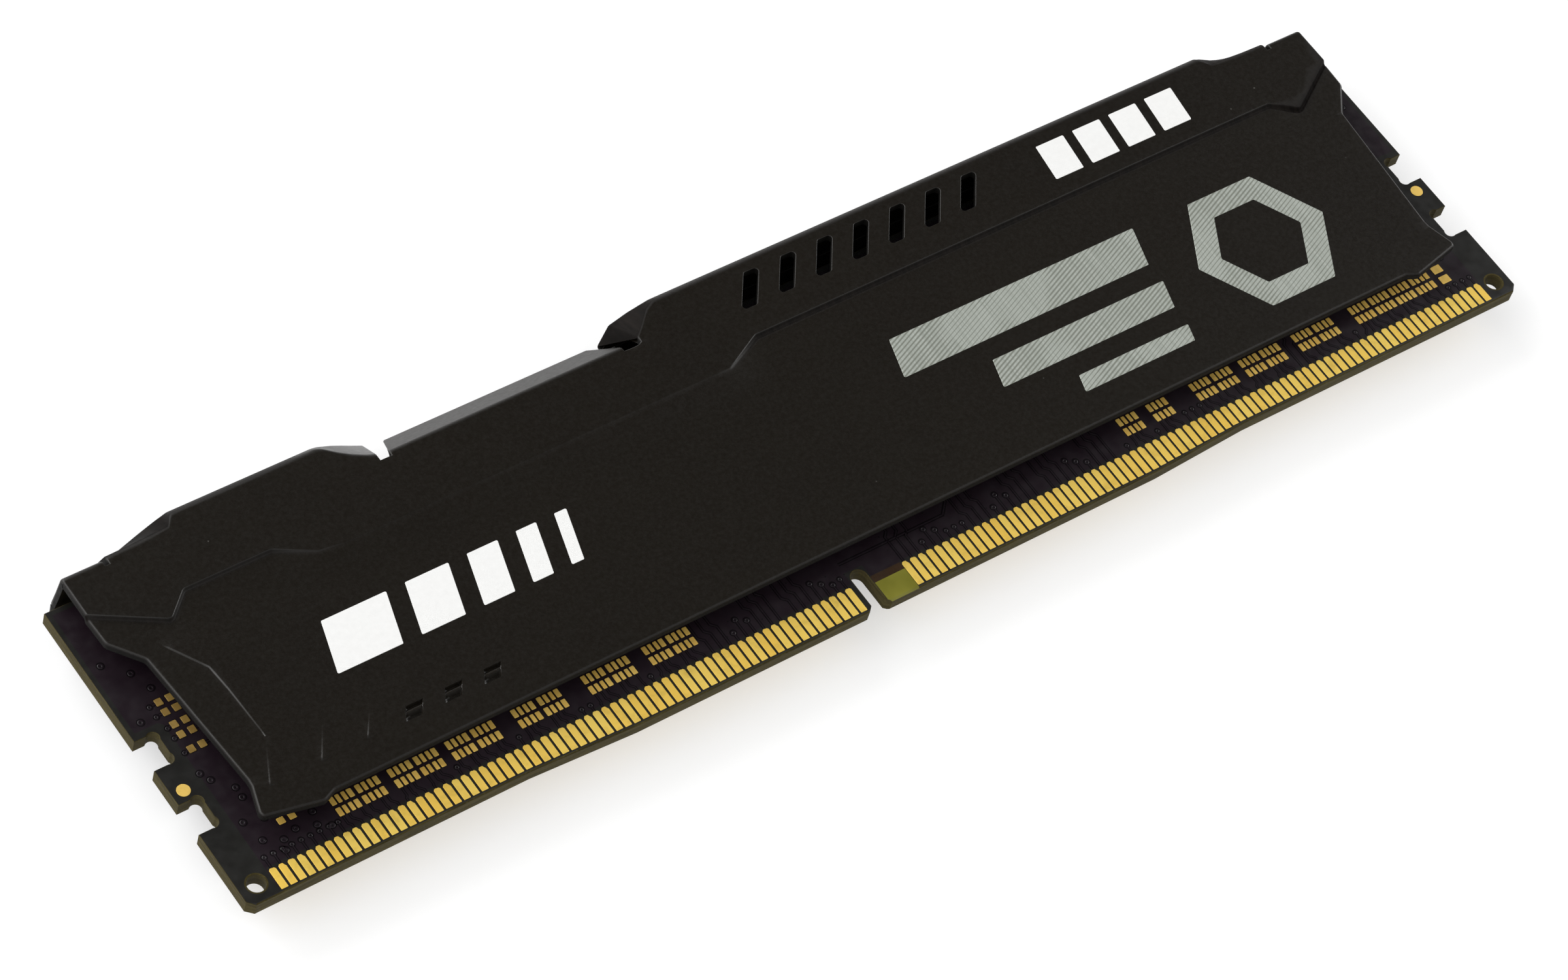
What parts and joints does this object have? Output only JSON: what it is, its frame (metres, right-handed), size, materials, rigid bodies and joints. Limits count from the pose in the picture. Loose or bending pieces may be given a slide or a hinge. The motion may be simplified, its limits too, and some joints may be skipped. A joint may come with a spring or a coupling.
{
  "type": "memory module",
  "caption": "Desktop memory module with a gold-plated edge connector, clad front and back in a stamped sheet-metal heat spreader.",
  "frame": {"origin": "middle of the base: the point of the rear heat spreader's outer face under the centre of the bounding box", "axes": "+X along the module towards the end with the longer contact group, +Y up the board away from the contact edge, +Z out of the front half of the heat spreader"},
  "size_m": [0.1334, 0.034, 0.0072],
  "materials": {
    "board": "black solder mask over glass-epoxy laminate",
    "gold": "gold plating over nickel",
    "package": "matt black moulding compound",
    "solder": "dull tin solder",
    "resistor": "black glazed top on an alumina chip",
    "capacitor": "tan ceramic with tinned ends",
    "thermal_pad": "soft grey filled silicone",
    "spreader": "stamped aluminium sheet in satin black",
    "white_ink": "white pad-printed ink",
    "silver_ink": "metallic silver print",
    "label": "blank coated paper label"
  },
  "bodies": {
    "root": {"pcb": "board", "contacts_front": "gold", "contacts_rear": "gold", "component_lands_front": "gold", "dram_u1": "package", "dram_u2": "package", "dram_u3": "package", "dram_u4": "package", "dram_u5": "package", "dram_u6": "package", "dram_u7": "package", "dram_u8": "package", "dram_solder_balls": "solder", "spd_eeprom": "package", "resistor_arrays": "resistor", "decoupling_capacitors": "capacitor", "bulk_capacitors": "capacitor", "termination_resistors": "resistor", "front_thermal_pad_left": "thermal_pad", "front_thermal_pad_right": "thermal_pad", "rear_thermal_pad_left": "thermal_pad", "rear_thermal_pad_right": "thermal_pad", "front_heat_spreader": "spreader", "rear_heat_spreader": "spreader", "white_print": "white_ink", "silver_print": "silver_ink", "rear_label": "label"}
  },
  "joints": []
}
